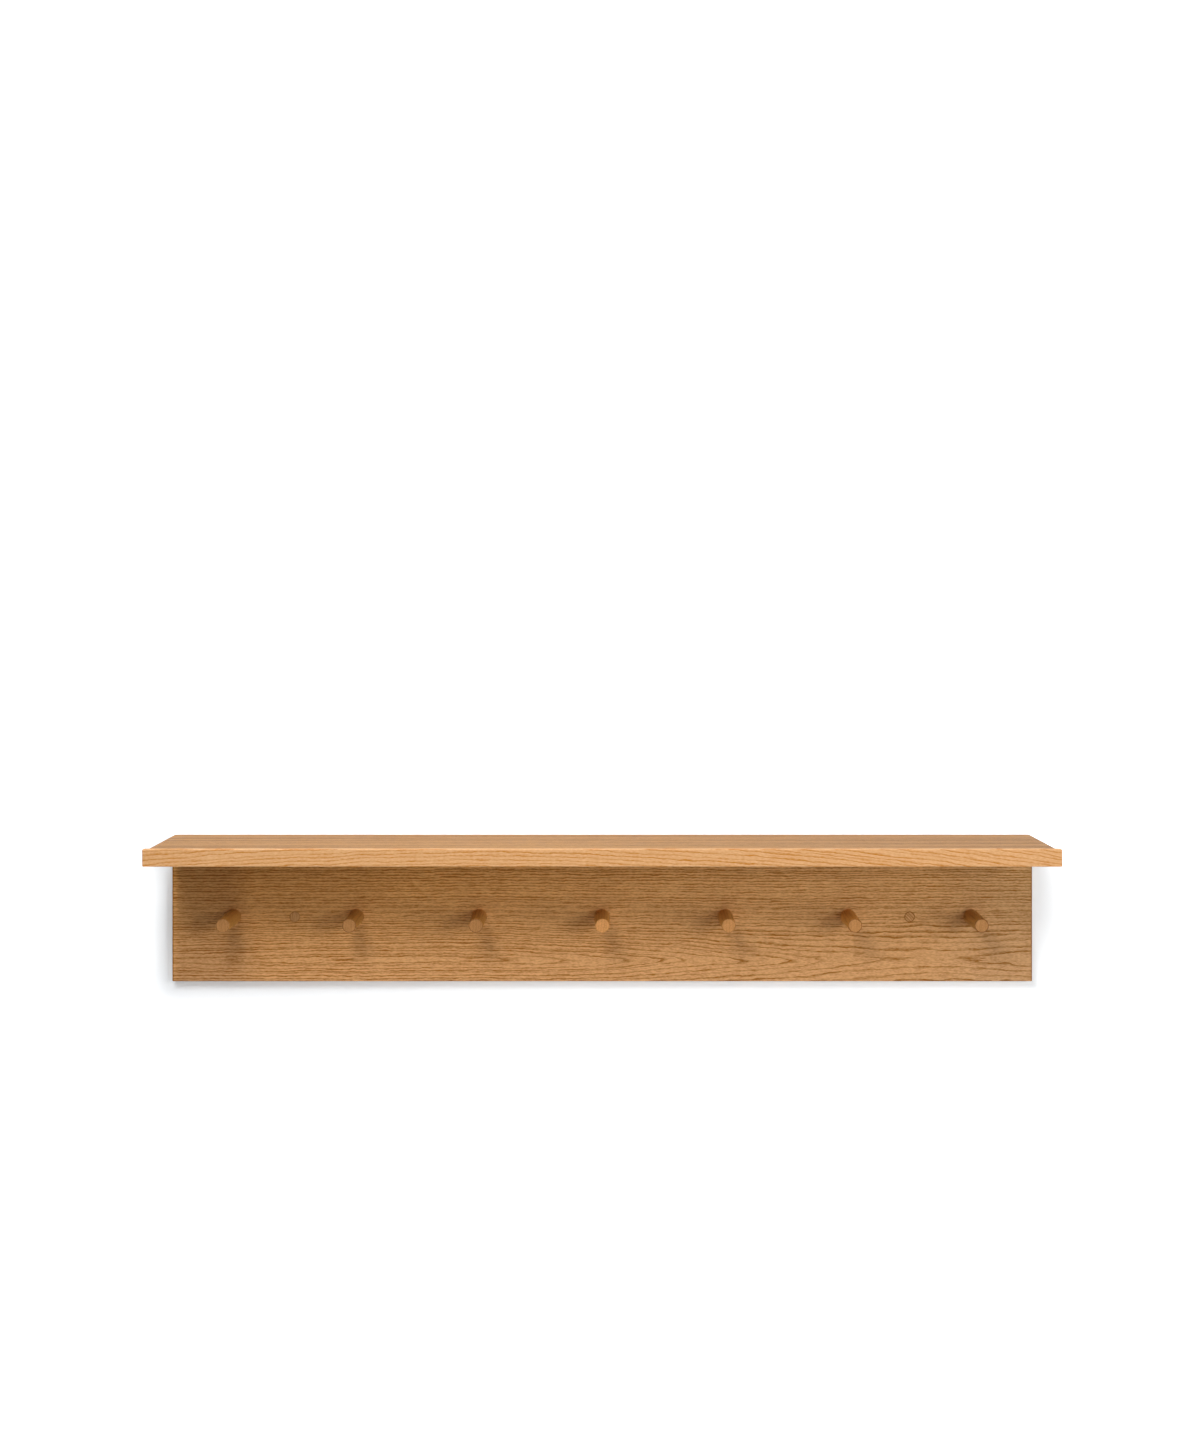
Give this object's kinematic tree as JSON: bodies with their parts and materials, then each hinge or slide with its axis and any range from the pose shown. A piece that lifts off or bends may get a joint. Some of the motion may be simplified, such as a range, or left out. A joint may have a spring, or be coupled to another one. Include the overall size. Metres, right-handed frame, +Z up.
{
  "type": "shaker peg rail with shelf",
  "caption": "Wall-hung oak peg rail: a flat shelf with a raised front lip on an upright board with a row of tapered round pegs and two flush plugs over the wall screws.",
  "frame": {"origin": "on the wall plane, midway between the two wall screw holes", "axes": "+X right along the rail, +Y into the wall, +Z up; the shelf and pegs stand out along -Y"},
  "size_m": [1, 0.18, 0.172],
  "materials": {
    "shelf_oak": "oiled natural oak, satin",
    "lip_oak": "oiled natural oak, a lighter and more orange strip, satin",
    "rail_oak": "oiled natural oak, satin",
    "peg_oak": "oiled natural oak, turned, satin",
    "plug_oak": "oiled natural oak, flush sanded",
    "screw_steel": "zinc plated steel",
    "dowel_beech": "bare fluted beech"
  },
  "bodies": {
    "rail_assembly": {"shelf_board": "shelf_oak", "front_lip": "lip_oak", "peg_rail": "rail_oak", "peg_1": "peg_oak", "peg_2": "peg_oak", "peg_3": "peg_oak", "peg_4": "peg_oak", "peg_5": "peg_oak", "peg_6": "peg_oak", "peg_7": "peg_oak", "peg_screw_1": "screw_steel", "peg_screw_2": "screw_steel", "peg_screw_3": "screw_steel", "peg_screw_4": "screw_steel", "peg_screw_5": "screw_steel", "peg_screw_6": "screw_steel", "peg_screw_7": "screw_steel", "shelf_dowel_1": "dowel_beech", "shelf_dowel_2": "dowel_beech", "shelf_dowel_3": "dowel_beech", "shelf_dowel_4": "dowel_beech", "shelf_dowel_5": "dowel_beech", "shelf_dowel_6": "dowel_beech"},
    "left_cover_plug": {"plug_left": "plug_oak"},
    "right_cover_plug": {"plug_right": "plug_oak"}
  },
  "joints": [
    {"name": "plug_left_pull", "type": "slide", "parent": "rail_assembly", "child": "left_cover_plug", "axis": [0, -1, 0], "range_m": [0, 0.006]},
    {"name": "plug_right_pull", "type": "slide", "parent": "rail_assembly", "child": "right_cover_plug", "axis": [0, -1, 0], "range_m": [0, 0.006]}
  ]
}
